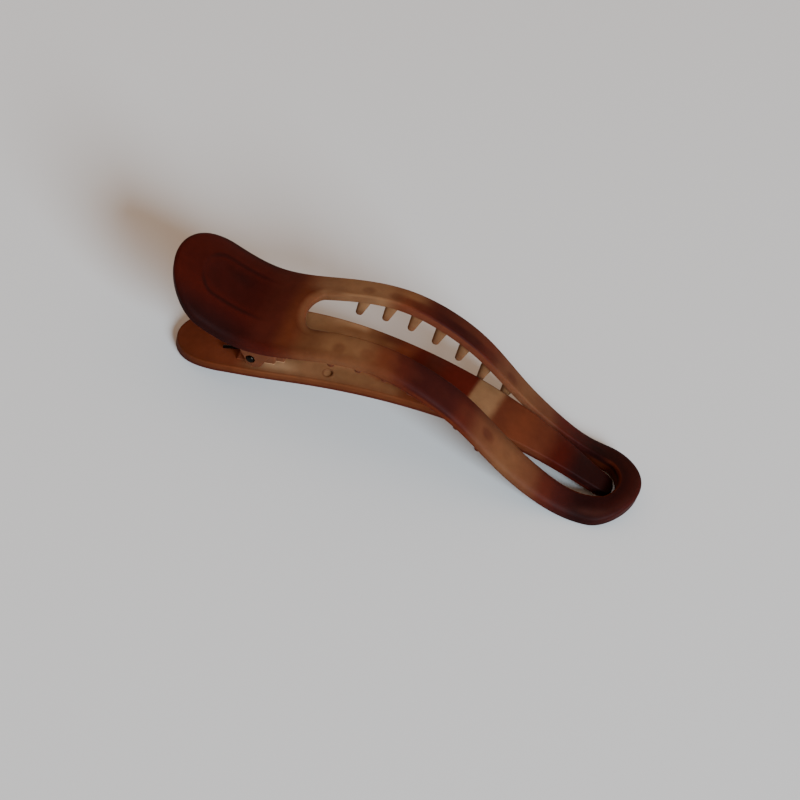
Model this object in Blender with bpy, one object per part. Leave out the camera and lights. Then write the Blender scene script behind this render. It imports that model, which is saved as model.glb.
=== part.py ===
"""A long duckbill hair clip, closed and lying on its lower pad.

Two arched plastic jaws turn on a steel pin near their pads, and a steel coil spring
between them presses the pads apart and the jaws shut.
The clip's length lies along X with the pads at -X, its width along Y, and Z is up.
The origin is under the middle of the clip, on the surface that it lies on.
"""
import math
from collections import namedtuple

import bmesh
import bpy
import numpy as np
from mathutils import Matrix, Vector

MM = 0.001

# Driving sizes, in millimetres; "along" is counted from the end of the upper pad.
# An edge of a wall is softly rounded on top and tight below: each pair is a share of
# the rounding, from the outline inwards, and a share of half the wall
CLIP_LENGTH = 135.0
WALL = 2.8
EDGE_ROUNDING = 1.1
TOP_EDGE = [(0.0, 0.25), (0.3, 0.75), (1.0, 1.0)]
BOTTOM_EDGE = [(0.3, 1.0), (0.0, 0.65)]
WIDEST_EDGE_SHARE = 0.3
RUNNING_GAP = 0.3

# Points nearer than this are one, and the shares of a wall's width between its edges
# at which its sections have a point
SAME_POINT = 0.002
UPPER_SHARES = (0.12, 0.3, 0.5, 0.7, 0.88)
LOWER_SHARES = (0.35, 0.7)

# The upper jaw: the middle of its wall at the outer edge, its half width before the
# ends are rounded, and how much higher the wall is over the long axis than at the edge
UpperRow = namedtuple("UpperRow", "along edge_height half_width crown")
UPPER = [
    UpperRow(0, 29.3, 14.4, 1.6),
    UpperRow(12, 23.9, 15.3, 3.0),
    UpperRow(25, 21.2, 15.4, 2.6),
    UpperRow(42, 25.8, 15.4, 1.8),
    UpperRow(60, 29.4, 15.8, 1.7),
    UpperRow(72, 27.1, 16.3, 1.8),
    UpperRow(84, 21.5, 16.4, 2.1),
    UpperRow(97, 12.0, 16.0, 2.7),
    UpperRow(108, 5.5, 15.4, 3.0),
    UpperRow(118, 1.9, 14.5, 2.9),
    UpperRow(126, 1.9, 13.6, 2.2),
    UpperRow(135, 4.1, 11.4, 1.4),
]
PAD_ROUND_END = 11.8
TIP_ROUND_END = 10.9

# The opening in the upper jaw, as its half width before its ends are rounded
OpeningRow = namedtuple("OpeningRow", "along half_width")
OPENING = [
    OpeningRow(36.6, 6.3),
    OpeningRow(52, 7.7),
    OpeningRow(66, 8.1),
    OpeningRow(80, 7.9),
    OpeningRow(96, 7.8),
    OpeningRow(112, 8.1),
    OpeningRow(122, 7.2),
    OpeningRow(128.9, 4.9),
]
OPENING_ROUND_START = 3.2
OPENING_ROUND_END = 3.6

# How far inside the opening's two ends the rails give way to the pad and the tip
PAD_JOIN = 7.0
TIP_JOIN = 8.0

# The lower jaw: the middle of its wall and its half width, to a blunt narrow tip.
# Its two ends are low where they rest, and fan out from a spine that stops short
LowerRow = namedtuple("LowerRow", "along height half_width")
LOWER = [
    LowerRow(4.2, 1.3, 11.0),
    LowerRow(8, 2.1, 11.2),
    LowerRow(14, 4.7, 11.8),
    LowerRow(28, 9.6, 12.7),
    LowerRow(44, 13.7, 12.1),
    LowerRow(68, 16.0, 9.8),
    LowerRow(90, 14.1, 7.4),
    LowerRow(110, 8.4, 5.1),
    LowerRow(122, 3.6, 3.6),
    LowerRow(128.2, 1.5, 2.9),
]
LOWER_PAD_ROUND_END = 15.0
LOWER_TIP_ROUND_END = 1.6
LOWER_CROWN = 0.6
REST_CUT = 0.5
REST_REACH = 12.0
PAD_FAN = 12.0
PAD_SPINE = 6.0
TIP_FAN = 3.0
TIP_SPINE = 1.5

# The shallow hollow for the thumb on the upper pad
HOLLOW_MIDDLE = 16.5
HOLLOW_HALF_LENGTH = 10.5
HOLLOW_HALF_WIDTH = 7.6
HOLLOW_DEPTH = 0.9

# Two rows of teeth under the rails, front and back, which lean towards the pads by
# some degrees. A tooth's end is rounded from a share of its length on, and its corners
# are cut where its outline passes 1
TEETH_START = 49.7
TEETH_PITCH = 7.2
TEETH_COUNT = 10
FRONT_ROW_SHIFT = -1.5
TOOTH_SIDE = 10.4
TOOTH_LENGTH = 7.0
TOOTH_LEAN = 8.0
TOOTH_ROOT = (4.1, 3.4)
TOOTH_TIP = (2.1, 1.7)
TOOTH_ROUND_FROM = 0.85
TOOTH_END_SHARE = 0.55
TOOTH_CORNER_CUT = 1.3
TOOTH_FLOOR_GAP = 0.4
SHORTEST_TOOTH = 1.0

# The hinge: its pin runs across the clip through two ears of each jaw
PIN_ALONG = 26.8
PIN_HEIGHT = 14.0
PIN_RADIUS = 1.0
PIN_PROUD = 0.35
PIN_CHAMFER = 0.2
UPPER_EAR = (10.0, 12.0)
UPPER_EAR_RADIUS = 2.6
UPPER_EAR_SHIFT = 1.0
UPPER_EAR_FOOT = (-8.2, 7.4)
LOWER_EAR = (7.5, 9.7)
LOWER_EAR_RADIUS = 3.1
LOWER_EAR_FOOT = (-4.2, 4.2)

# Two steps at the toe of each lower ear, low moulded ribs that run on along the wall
ToeStep = namedtuple("ToeStep", "end rise inner outer")
TOE_STEPS = [
    ToeStep(33.0, 2.6, 7.5, 9.7),
    ToeStep(35.2, 1.5, 5.3, 8.5),
]
TOE_START = 28.8
TOE_ROUNDING = 0.5

# The spring: a close coil round the pin with one leg towards each pad
WIRE_RADIUS = 0.45
COIL_RADIUS = 1.9
COIL_TURNS = 8
COIL_SPAN = 11.6
LEG_SIDE = 6.6
LOWER_LEG_END = 18.2
UPPER_LEG_END = 14.5

PLASTIC = ("tortoise_plastic", (0.18, 0.045, 0.015, 1.0), 0.42, 0.0)
STEEL = ("spring_steel", (0.42, 0.41, 0.39, 1.0), 0.3, 1.0)


def smooth_curve(rows, column):
    """A natural cubic curve through one column of a table, as a function of along."""
    x = np.array([row.along for row in rows], float)
    y = np.array([getattr(row, column) for row in rows], float)
    step = np.diff(x)
    slope = np.diff(y) / step
    size = len(x)
    matrix = np.eye(size)
    right = np.zeros(size)
    for i in range(1, size - 1):
        matrix[i, i - 1:i + 2] = step[i - 1], 2 * (step[i - 1] + step[i]), step[i]
        right[i] = 6 * (slope[i] - slope[i - 1])
    bend = np.linalg.solve(matrix, right)

    def value(along):
        i = int(np.clip(np.searchsorted(x, along) - 1, 0, size - 2))
        a, b = x[i + 1] - along, along - x[i]
        cubic = (bend[i] * a ** 3 + bend[i + 1] * b ** 3) / (6 * step[i])
        first = (y[i] / step[i] - bend[i] * step[i] / 6) * a
        second = (y[i + 1] / step[i] - bend[i + 1] * step[i] / 6) * b
        return float(cubic + first + second)

    return value


upper_edge_height = smooth_curve(UPPER, "edge_height")
upper_plain_width = smooth_curve(UPPER, "half_width")
upper_crown = smooth_curve(UPPER, "crown")
opening_plain_width = smooth_curve(OPENING, "half_width")
lower_height = smooth_curve(LOWER, "height")
lower_plain_width = smooth_curve(LOWER, "half_width")


def rounded(distance, length):
    """1 away from an end, falling to 0 at the end as a quarter of an ellipse does."""
    short = 1 - min(max(distance / length, 0.0), 1.0)
    return math.sqrt(max(1 - short * short, 0.0))


def upper_half_width(along):
    ends = rounded(along, PAD_ROUND_END) * rounded(CLIP_LENGTH - along, TIP_ROUND_END)
    return upper_plain_width(along) * ends


def opening_half_width(along):
    start, end = OPENING[0].along, OPENING[-1].along
    ends = rounded(along - start, OPENING_ROUND_START) * rounded(end - along, OPENING_ROUND_END)
    return opening_plain_width(along) * ends


def lower_half_width(along):
    start, end = LOWER[0].along, LOWER[-1].along
    ends = rounded(along - start, LOWER_PAD_ROUND_END) * rounded(end - along, LOWER_TIP_ROUND_END)
    return lower_plain_width(along) * ends


def upper_middle(along, side):
    """Height of the middle of the upper jaw's wall."""
    across = side / upper_plain_width(along)
    return upper_edge_height(along) + upper_crown(along) * (1 - across * across)


def rest_share(along):
    """1 at the two ends that the lower jaw rests on, 0 between them."""
    start, end = LOWER[0].along, LOWER[-1].along
    return max(0.0, 1 - (along - start) / REST_REACH, 1 - (end - along) / REST_REACH)


def lower_middle(along, side):
    """Height of the middle of the lower jaw's wall, set a little low where it rests."""
    across = side / lower_plain_width(along)
    crown = LOWER_CROWN * (1 - across * across)
    share = rest_share(along)
    return lower_height(along) + crown * (1 - share) - REST_CUT * share


def thumb_hollow(along, side):
    """Depth of the hollow on top of the upper pad."""
    reach = math.hypot((along - HOLLOW_MIDDLE) / HOLLOW_HALF_LENGTH, side / HOLLOW_HALF_WIDTH)
    return HOLLOW_DEPTH * max(0.0, 1 - reach ** 4) if reach < 1 else 0.0


def no_hollow(along, side):
    return 0.0


def walk(half_width, start, end, count):
    """Points at even distances along an outline, between two places on the long axis."""
    turns = np.linspace(0, math.pi, 241)
    along = start + (end - start) * (1 - np.cos(turns)) / 2
    side = np.array([half_width(a) for a in along])
    length = np.concatenate([[0], np.cumsum(np.hypot(np.diff(along), np.diff(side)))])
    at = np.linspace(0, length[-1], count + 1)
    return [(float(np.interp(d, length, along)), float(np.interp(d, length, side))) for d in at]


def joined(*stretches):
    """Stretches of points that follow each other, without the shared ends."""
    points = list(stretches[0])
    for stretch in stretches[1:]:
        points += stretch[1:]
    return points


def upper_spokes():
    """Pairs of points, on the opening and on the outline, that the wall spans."""
    start, end = OPENING[0].along, OPENING[-1].along
    pad_join, tip_join = start + PAD_JOIN, end - TIP_JOIN
    inner = joined(walk(opening_half_width, start, pad_join, 12),
                   walk(opening_half_width, pad_join, tip_join, 22),
                   walk(opening_half_width, tip_join, end, 7))
    outer = joined(walk(upper_half_width, 0, pad_join, 12),
                   walk(upper_half_width, pad_join, tip_join, 22),
                   walk(upper_half_width, tip_join, CLIP_LENGTH, 7))
    return all_round(list(zip(inner, outer)))


def lower_spokes():
    """Pairs of points, on the long axis and on the lower jaw's outline."""
    start, end = LOWER[0].along, LOWER[-1].along
    outer = joined(walk(lower_half_width, start, start + PAD_FAN, 8),
                   walk(lower_half_width, start + PAD_FAN, end - TIP_FAN, 22),
                   walk(lower_half_width, end - TIP_FAN, end, 5))
    spine_start, spine_end = start + PAD_SPINE, end - TIP_SPINE
    inner = [(min(max(along, spine_start), spine_end), 0.0) for along, _ in outer]
    return all_round(list(zip(inner, outer)))


def all_round(half):
    """The pairs of one half and those of its mirror image, as one loop."""
    mirrored = [tuple((along, -side) for along, side in pair) for pair in half[-2:0:-1]]
    return half + mirrored


def wall_section(pair, middle, hollow, inner_is_edge, shares):
    """The closed or folded line round the wall between two points of the plan."""
    (a0, s0), (a1, s1) = pair
    edge = min(EDGE_ROUNDING / math.hypot(a1 - a0, s1 - s0), WIDEST_EDGE_SHARE)
    inside = [(edge + (1 - 2 * edge) * share, 1.0) for share in shares]
    top = [(part * edge, full) for part, full in TOP_EDGE] if inner_is_edge else [(0.0, 1.0)]
    top += inside + [(1 - part * edge, full) for part, full in reversed(TOP_EDGE)]
    bottom = [(1 - part * edge, full) for part, full in reversed(BOTTOM_EDGE)] + inside[::-1]
    bottom += [(part * edge, full) for part, full in BOTTOM_EDGE] if inner_is_edge else [(0.0, 1.0)]

    def point(part, lift, depth):
        along, side = a0 + (a1 - a0) * part, s0 + (s1 - s0) * part
        height = middle(along, side) + lift * WALL / 2 - depth(along, side)
        return Vector((along - CLIP_LENGTH / 2, side, height)) * MM

    line = [point(part, full, hollow) for part, full in top]
    return line + [point(part, -full, no_hollow) for part, full in bottom]


def wall_solid(name, spokes, middle, hollow, inner_is_edge, shares):
    """A jaw's wall, as sections that go all round its outline."""
    bm = bmesh.new()
    rings = []
    for pair in spokes:
        section = wall_section(pair, middle, hollow, inner_is_edge, shares)
        rings.append([bm.verts.new(p) for p in section])
    for ring, following in zip(rings, rings[1:] + rings[:1]):
        last = len(ring) if inner_is_edge else len(ring) - 1
        for i in range(last):
            j = (i + 1) % len(ring)
            bm.faces.new((ring[i], ring[j], following[j], following[i]))
    bmesh.ops.remove_doubles(bm, verts=bm.verts, dist=SAME_POINT * MM)
    bmesh.ops.dissolve_degenerate(bm, edges=bm.edges, dist=SAME_POINT * MM)
    bmesh.ops.triangulate(bm, faces=bm.faces)
    return finished_object(name, bm)


def finished_object(name, bm):
    bmesh.ops.recalc_face_normals(bm, faces=bm.faces)
    mesh = bpy.data.meshes.new(name)
    bm.to_mesh(mesh)
    bm.free()
    obj = bpy.data.objects.new(name, mesh)
    bpy.context.scene.collection.objects.link(obj)
    return obj


def add_prism(bm, outline, side_low, side_high):
    """A slab between two planes across the clip, from (along, height) points."""
    low = [bm.verts.new(Vector((a - CLIP_LENGTH / 2, side_low, h)) * MM) for a, h in outline]
    high = [bm.verts.new(Vector((a - CLIP_LENGTH / 2, side_high, h)) * MM) for a, h in outline]
    bm.faces.new(low)
    bm.faces.new(high[::-1])
    for i in range(len(low)):
        j = (i + 1) % len(low)
        bm.faces.new((low[i], high[i], high[j], low[j]))


def add_tooth(bm, along, side, root_height, tip_height):
    """A tapered peg with chamfered corners and a narrowed, nearly round tip."""
    end_size = [TOOTH_END_SHARE * size for size in TOOTH_TIP]
    levels = [(0.0, TOOTH_ROOT), (TOOTH_ROUND_FROM, TOOTH_TIP), (1.0, end_size)]
    rings = []
    for share, (size_along, size_side) in levels:
        height = root_height + (tip_height - root_height) * share
        middle = along + (height - root_height) * math.tan(math.radians(TOOTH_LEAN))
        ring = []
        for corner in range(8):
            turn = math.tau * (corner + 0.5) / 8
            reach_along = size_along / 2 * max(-1, min(1, TOOTH_CORNER_CUT * math.cos(turn)))
            reach_side = size_side / 2 * max(-1, min(1, TOOTH_CORNER_CUT * math.sin(turn)))
            place = (middle + reach_along - CLIP_LENGTH / 2, side + reach_side, height)
            ring.append(bm.verts.new(Vector(place) * MM))
        rings.append(ring)
    bm.faces.new(rings[0])
    bm.faces.new(rings[-1][::-1])
    for upper, lower in zip(rings, rings[1:]):
        for i in range(8):
            j = (i + 1) % 8
            bm.faces.new((upper[i], lower[i], lower[j], upper[j]))


def ear_outline(radius, shift, foot_span, end_height, up):
    """A round end about the pin, with flanks that spread to a foot along the wall."""
    turns = [math.radians(10 + 20 * step) for step in range(9)]
    middle, direction = PIN_ALONG + shift, 1 if up else -1
    arc = [(middle + radius * math.cos(t), PIN_HEIGHT + direction * radius * math.sin(t))
           for t in turns]
    feet = PIN_ALONG + np.linspace(*foot_span, 5)
    return arc + [(foot, end_height(foot)) for foot in feet]


def tool(name, bm):
    """A solid that another piece is joined with or cut by, left out of the model."""
    obj = finished_object(name, bm)
    obj.hide_render = True
    obj.display_type = "WIRE"
    return obj


def use_tool(obj, other, operation):
    modifier = obj.modifiers.new(operation.lower(), "BOOLEAN")
    modifier.operation = operation
    modifier.solver = "EXACT"
    modifier.object = other


def pin_hole_tool(name, reach):
    bm = bmesh.new()
    turn = Matrix.Rotation(math.radians(90), 4, "X")
    place = Matrix.Translation(Vector((PIN_ALONG - CLIP_LENGTH / 2, 0, PIN_HEIGHT)) * MM)
    radius = (PIN_RADIUS + RUNNING_GAP) * MM
    bmesh.ops.create_cone(bm, cap_ends=True, segments=16, radius1=radius, radius2=radius,
                          depth=2 * reach * MM, matrix=place @ turn)
    return tool(name, bm)


def upper_jaw_fittings():
    """The teeth and the two ears that are moulded under the upper jaw."""
    bm = bmesh.new()
    for sign, shift in ((-1, FRONT_ROW_SHIFT), (1, 0.0)):
        for i in range(TEETH_COUNT):
            along = TEETH_START + shift + TEETH_PITCH * i
            middle = upper_middle(along, TOOTH_SIDE)
            tip = max(middle - WALL / 2 - TOOTH_LENGTH, TOOTH_FLOOR_GAP)
            if middle - WALL / 2 - tip > SHORTEST_TOOTH:
                add_tooth(bm, along, sign * TOOTH_SIDE, middle, tip)
        inner, outer = UPPER_EAR
        outline = ear_outline(UPPER_EAR_RADIUS, UPPER_EAR_SHIFT, UPPER_EAR_FOOT,
                              lambda along: upper_middle(along, (inner + outer) / 2), False)
        add_prism(bm, outline, *sorted((sign * inner, sign * outer)))
    return tool("upper_fittings", bm)


def lower_jaw_fittings():
    """The two ears on the lower jaw and the low steps at their toes."""
    bm = bmesh.new()
    for sign in (-1, 1):
        inner, outer = LOWER_EAR
        outline = ear_outline(LOWER_EAR_RADIUS, 0.0, LOWER_EAR_FOOT,
                              lambda along: lower_middle(along, (inner + outer) / 2), True)
        add_prism(bm, outline, *sorted((sign * inner, sign * outer)))
    return tool("lower_fittings", bm)


def toe_tool(step, sign):
    side = (step.inner + step.outer) / 2
    foot = lower_middle(TOE_START, side)
    top = lower_middle(step.end, side) + WALL / 2 + step.rise
    outline = [(TOE_START, foot), (step.end, lower_middle(step.end, side)),
               (step.end, top - TOE_ROUNDING), (step.end - TOE_ROUNDING, top),
               (TOE_START, foot + WALL / 2 + step.rise)]
    bm = bmesh.new()
    add_prism(bm, outline, *sorted((sign * step.inner, sign * step.outer)))
    return tool("toe_tool", bm)


def floor_tool():
    """Everything under the surface that the clip lies on."""
    bm = bmesh.new()
    length, width, depth = 1.2 * CLIP_LENGTH, 0.5 * CLIP_LENGTH, 0.1 * CLIP_LENGTH
    place = Matrix.Translation(Vector((0, 0, -depth / 2)) * MM)
    size = Matrix.Diagonal((length * MM, width * MM, depth * MM, 1))
    bmesh.ops.create_cube(bm, size=1.0, matrix=place @ size)
    return tool("floor_cut", bm)


def make_upper_jaw():
    jaw = wall_solid("upper_jaw", upper_spokes(), upper_middle, thumb_hollow, True, UPPER_SHARES)
    use_tool(jaw, upper_jaw_fittings(), "UNION")
    use_tool(jaw, pin_hole_tool("upper_pin_hole", UPPER_EAR[1] + 1), "DIFFERENCE")
    return jaw


def make_lower_jaw():
    jaw = wall_solid("lower_jaw", lower_spokes(), lower_middle, no_hollow, False, LOWER_SHARES)
    use_tool(jaw, lower_jaw_fittings(), "UNION")
    for step in TOE_STEPS:
        for sign in (-1, 1):
            use_tool(jaw, toe_tool(step, sign), "UNION")
    use_tool(jaw, pin_hole_tool("lower_pin_hole", LOWER_EAR[1] + 1), "DIFFERENCE")
    use_tool(jaw, floor_tool(), "DIFFERENCE")
    return jaw


def make_hinge_pin():
    bm = bmesh.new()
    turn = Matrix.Rotation(math.radians(90), 4, "X")
    length = 2 * (UPPER_EAR[1] + PIN_PROUD)
    bmesh.ops.create_cone(bm, cap_ends=True, segments=16, radius1=PIN_RADIUS * MM,
                          radius2=PIN_RADIUS * MM, depth=length * MM, matrix=turn)
    rims = [e for e in bm.edges if len(e.link_faces[0].verts) != len(e.link_faces[1].verts)]
    bmesh.ops.bevel(bm, geom=rims, offset=PIN_CHAMFER * MM, segments=1, affect="EDGES")
    return finished_object("hinge_pin", bm)


def tangent_turn(along, height, side_of_line):
    """Where on the coil a straight leg from a point leaves it, as an angle."""
    reach = math.hypot(along - PIN_ALONG, height - PIN_HEIGHT)
    towards = math.atan2(height - PIN_HEIGHT, along - PIN_ALONG)
    return towards + side_of_line * math.acos(COIL_RADIUS / reach)


def spring_route():
    """Points along the wire: lower leg, coil, upper leg."""
    rise = WALL / 2 + RUNNING_GAP + WIRE_RADIUS
    lower_end = (LOWER_LEG_END, lower_middle(LOWER_LEG_END, LEG_SIDE) + rise)
    upper_end = (UPPER_LEG_END, upper_middle(UPPER_LEG_END, LEG_SIDE) - rise)
    first = tangent_turn(*lower_end, 1) % math.tau - math.tau
    last = tangent_turn(*upper_end, -1) % math.tau + math.tau * COIL_TURNS
    steps = int((last - first) / math.tau * 12)
    points = [(lower_end[0], -LEG_SIDE, lower_end[1])]
    for step in range(steps + 1):
        share = step / steps
        turn = first + (last - first) * share
        points.append((PIN_ALONG + COIL_RADIUS * math.cos(turn), COIL_SPAN * (share - 0.5),
                       PIN_HEIGHT + COIL_RADIUS * math.sin(turn)))
    points.append((upper_end[0], LEG_SIDE, upper_end[1]))
    return points


def make_torsion_spring():
    curve = bpy.data.curves.new("torsion_spring", "CURVE")
    curve.dimensions = "3D"
    curve.bevel_depth = WIRE_RADIUS * MM
    curve.bevel_resolution = 1
    curve.use_fill_caps = True
    route = spring_route()
    spline = curve.splines.new("POLY")
    spline.points.add(len(route) - 1)
    for point, (along, side, height) in zip(spline.points, route):
        point.co = ((along - CLIP_LENGTH / 2) * MM, side * MM, height * MM, 1.0)
    obj = bpy.data.objects.new("torsion_spring", curve)
    bpy.context.scene.collection.objects.link(obj)
    return obj


def give_material(obj, finish):
    name, colour, roughness, metallic = finish
    material = bpy.data.materials.get(name)
    if material is None:
        material = bpy.data.materials.new(name)
        material.use_nodes = True
        shader = material.node_tree.nodes["Principled BSDF"]
        shader.inputs["Base Color"].default_value = colour
        shader.inputs["Roughness"].default_value = roughness
        shader.inputs["Metallic"].default_value = metallic
        material.diffuse_color = colour
    obj.data.materials.append(material)


def turn_about(obj, point):
    """Move the object's origin to a point, and leave its shape where it is."""
    obj.data.transform(Matrix.Translation(-point))
    obj.location = point


def main():
    for obj in list(bpy.data.objects):
        bpy.data.objects.remove(obj, do_unlink=True)
    hinge = Vector((PIN_ALONG - CLIP_LENGTH / 2, 0, PIN_HEIGHT)) * MM
    upper = make_upper_jaw()
    lower = make_lower_jaw()
    pin = make_hinge_pin()
    pin.location = hinge
    spring = make_torsion_spring()
    turn_about(upper, hinge)
    for obj in (upper, lower):
        give_material(obj, PLASTIC)
    for obj in (pin, spring):
        give_material(obj, STEEL)


main()
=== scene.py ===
# %% [markdown]
# # A duckbill hair clip in frosted tortoise plastic
#
# The clip has two moulded jaws, a steel pin and a coil spring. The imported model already
# holds their true sizes and the hinge, so this script loads it as a fixed frame and
# dresses it: finer surfaces over the same sizes, and materials with real detail.
# Lengths below are in millimetres, as a mould maker would write them, and `MM` turns
# them into Blender's metres.

# %% Load the frame
import math
from collections import namedtuple

import bmesh
import bpy
import numpy as np
from mathutils import Matrix, Vector


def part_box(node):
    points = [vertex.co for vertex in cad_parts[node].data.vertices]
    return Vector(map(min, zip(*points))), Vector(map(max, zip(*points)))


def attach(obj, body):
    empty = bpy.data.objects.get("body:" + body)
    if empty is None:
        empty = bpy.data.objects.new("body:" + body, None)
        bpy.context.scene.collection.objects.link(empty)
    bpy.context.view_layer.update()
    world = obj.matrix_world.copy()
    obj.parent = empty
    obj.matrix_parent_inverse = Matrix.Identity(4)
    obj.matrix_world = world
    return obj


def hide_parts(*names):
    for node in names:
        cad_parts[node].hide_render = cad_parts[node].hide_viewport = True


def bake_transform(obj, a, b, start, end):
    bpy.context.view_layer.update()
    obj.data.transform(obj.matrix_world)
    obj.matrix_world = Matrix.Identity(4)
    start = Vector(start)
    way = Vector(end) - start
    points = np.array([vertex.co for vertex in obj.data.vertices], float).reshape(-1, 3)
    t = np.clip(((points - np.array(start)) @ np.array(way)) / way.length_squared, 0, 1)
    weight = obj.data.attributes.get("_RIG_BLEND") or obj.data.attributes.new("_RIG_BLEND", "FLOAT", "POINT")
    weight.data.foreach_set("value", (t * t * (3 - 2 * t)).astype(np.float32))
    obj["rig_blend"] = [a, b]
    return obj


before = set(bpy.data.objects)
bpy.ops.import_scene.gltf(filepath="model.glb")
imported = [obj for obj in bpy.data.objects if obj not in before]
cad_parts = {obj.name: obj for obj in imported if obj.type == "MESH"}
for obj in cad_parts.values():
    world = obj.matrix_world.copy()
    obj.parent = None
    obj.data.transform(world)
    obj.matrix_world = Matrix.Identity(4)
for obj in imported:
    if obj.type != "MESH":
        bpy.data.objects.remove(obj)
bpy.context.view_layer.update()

MM = 0.001

# %% [markdown]
# ## The camera
#
# A camera can be placed by eye, or worked out from the outlines in a photograph. The
# second way was used: the angles, the distance and the lens come from fitting the clip's
# own curves to its outlines, and the photograph turned out to be rolled by about 19
# degrees. The camera's three axes are written as vectors, which leaves no doubt about
# the order of the turns.

# %% Place the camera
CAMERA_AZIMUTH = math.radians(2.0)
CAMERA_ELEVATION = math.radians(47.5)
CAMERA_ROLL = math.radians(18.7)
CAMERA_DISTANCE = 499.4
CAMERA_TARGET = Vector((-1.0, 5.5, 0.0))
CAMERA_LENS = 82.85


def add_object(name, data):
    """A new object in the scene, made from a camera, a light or a mesh."""
    made = bpy.data.objects.new(name, data)
    bpy.context.scene.collection.objects.link(made)
    return made


def camera_axes():
    """Right, up and back of the camera, before and after its roll."""
    sin_a, cos_a = math.sin(CAMERA_AZIMUTH), math.cos(CAMERA_AZIMUTH)
    sin_e, cos_e = math.sin(CAMERA_ELEVATION), math.cos(CAMERA_ELEVATION)
    right = Vector((cos_a, sin_a, 0))
    up = Vector((-sin_a * sin_e, cos_a * sin_e, cos_e))
    back = Vector((sin_a * cos_e, -cos_a * cos_e, sin_e))
    sin_r, cos_r = math.sin(CAMERA_ROLL), math.cos(CAMERA_ROLL)
    return cos_r * right + sin_r * up, cos_r * up - sin_r * right, back


axes = camera_axes()
camera_data = bpy.data.cameras.new("photo_camera")
camera_data.lens = CAMERA_LENS
camera_data.clip_start = 0.01
camera = add_object("photo_camera", camera_data)
eye = (CAMERA_TARGET + axes[2] * CAMERA_DISTANCE) * MM
camera.matrix_world = Matrix.Translation(eye) @ Matrix(axes).transposed().to_4x4()
bpy.context.scene.camera = camera
print("camera at", tuple(round(v, 4) for v in camera.location))

# %% [markdown]
# ## The light
#
# The clip lies on a pale sheet. Its shadow is soft and falls away to the upper left of
# the picture: the end of the pad, 30 mm up, has its shadow 42 mm to the left and 46 mm
# further back. That gives the direction of the main light, which is large, low and cool
# like a window. A warm even world fills the shadows, as light that has passed through
# brown plastic does, and where both reach the floor they add up to a neutral grey.

# %% Set the lights
WORLD_LIGHT = 0.67
WORLD_COLOUR = (1.0, 0.70, 0.50)
KEY_DIRECTION = Vector((42.0, -46.0, 30.0))
KEY_DISTANCE = 3.0
KEY_SIZE = 1.33
KEY_POWER = 210.0
KEY_COLOUR = (0.70, 0.875, 0.99)


def solid(colour):
    """An opaque colour, with the fourth number that a colour socket takes."""
    return (*colour, 1.0)


world = bpy.data.worlds.new("studio")
world.use_nodes = True
background = world.node_tree.nodes["Background"].inputs
background["Color"].default_value = solid(WORLD_COLOUR)
background["Strength"].default_value = WORLD_LIGHT
bpy.context.scene.world = world

key_data = bpy.data.lights.new("key_light", "AREA")
key_data.shape = "DISK"
key_data.size = KEY_SIZE
key_data.energy = KEY_POWER
key_data.color = KEY_COLOUR
key = add_object("key_light", key_data)
key.location = KEY_DIRECTION.normalized() * KEY_DISTANCE
key.rotation_euler = KEY_DIRECTION.to_track_quat("Z", "Y").to_euler()
level = Vector((*KEY_DIRECTION.xy, 0))
print("key light:", round(math.degrees(KEY_DIRECTION.angle(level))), "degrees up")

# %% [markdown]
# ## Arithmetic with sockets
#
# Materials and Geometry Nodes are both built from nodes, and a formula takes many Math
# nodes. `Value` wraps one socket and lets Python's own operators add those nodes, so a
# formula reads as a formula. `Graph.add` makes any other node: its type, the values or
# links of its sockets, and its settings.


# %% A small language for node trees
class Value:
    """One output socket, with arithmetic that adds Math nodes."""

    def __init__(self, graph, socket):
        self.graph, self.socket = graph, socket

    def of(self, name):
        """Another output of the same node."""
        return Value(self.graph, self.graph.pick(self.socket.node.outputs, name))

    def math(self, operation, *others):
        return self.graph.math(operation, self, *others)

    def __add__(self, other):
        return self.math("ADD", other)

    def __mul__(self, other):
        return self.math("MULTIPLY", other)

    __radd__ = __add__
    __rmul__ = __mul__

    def __sub__(self, other):
        return self.math("SUBTRACT", other)

    def __rsub__(self, other):
        return self.graph.math("SUBTRACT", other, self)

    def __truediv__(self, other):
        return self.math("DIVIDE", other)

    def __rtruediv__(self, other):
        return self.graph.math("DIVIDE", other, self)

    def __pow__(self, other):
        return self.math("POWER", other)

    def clamped(self):
        """The value held between 0 and 1."""
        return self.math("MAXIMUM", 0.0).math("MINIMUM", 1.0)

    def hypot(self, other):
        """The long side of a right-angled triangle that has these two short sides."""
        return (self * self + other * other).math("SQRT")

    def within(self, start, full, *ending):
        """0 before start and 1 past full, with a smooth change, in either direction.

        With two numbers more, it is 1 up to the first of them and 0 from the second on.
        """
        inside = self.graph.add("ShaderNodeMapRange", {
            "Value": self, "From Min": start, "From Max": full}, interpolation_type="SMOOTHSTEP")
        return inside * self.within(*ending[::-1]) if ending else inside


class Graph:
    """A node tree under construction."""

    def __init__(self, tree):
        self.tree = tree

    @staticmethod
    def pick(sockets, name):
        """A socket by its number, or by its name among those that are in use."""
        if isinstance(name, int):
            return sockets[name]
        return next(s for s in sockets if s.name == name and s.enabled)

    def add(self, kind, inputs=None, **settings):
        """A new node, given as its first output."""
        node = self.tree.nodes.new(kind)
        for name, setting in settings.items():
            setattr(node, name, setting)
        for name, value in (inputs or {}).items():
            self.feed(self.pick(node.inputs, name), value)
        shown = [s for s in node.outputs if s.enabled]
        return Value(self, shown[0]) if shown else node

    def math(self, operation, *values):
        return self.add("ShaderNodeMath", dict(enumerate(values)), operation=operation)

    def feed(self, socket, value):
        if isinstance(value, list):
            for each in value:
                self.feed(socket, each)
        elif isinstance(value, Value):
            self.tree.links.new(value.socket, socket)
        else:
            socket.default_value = value


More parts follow.
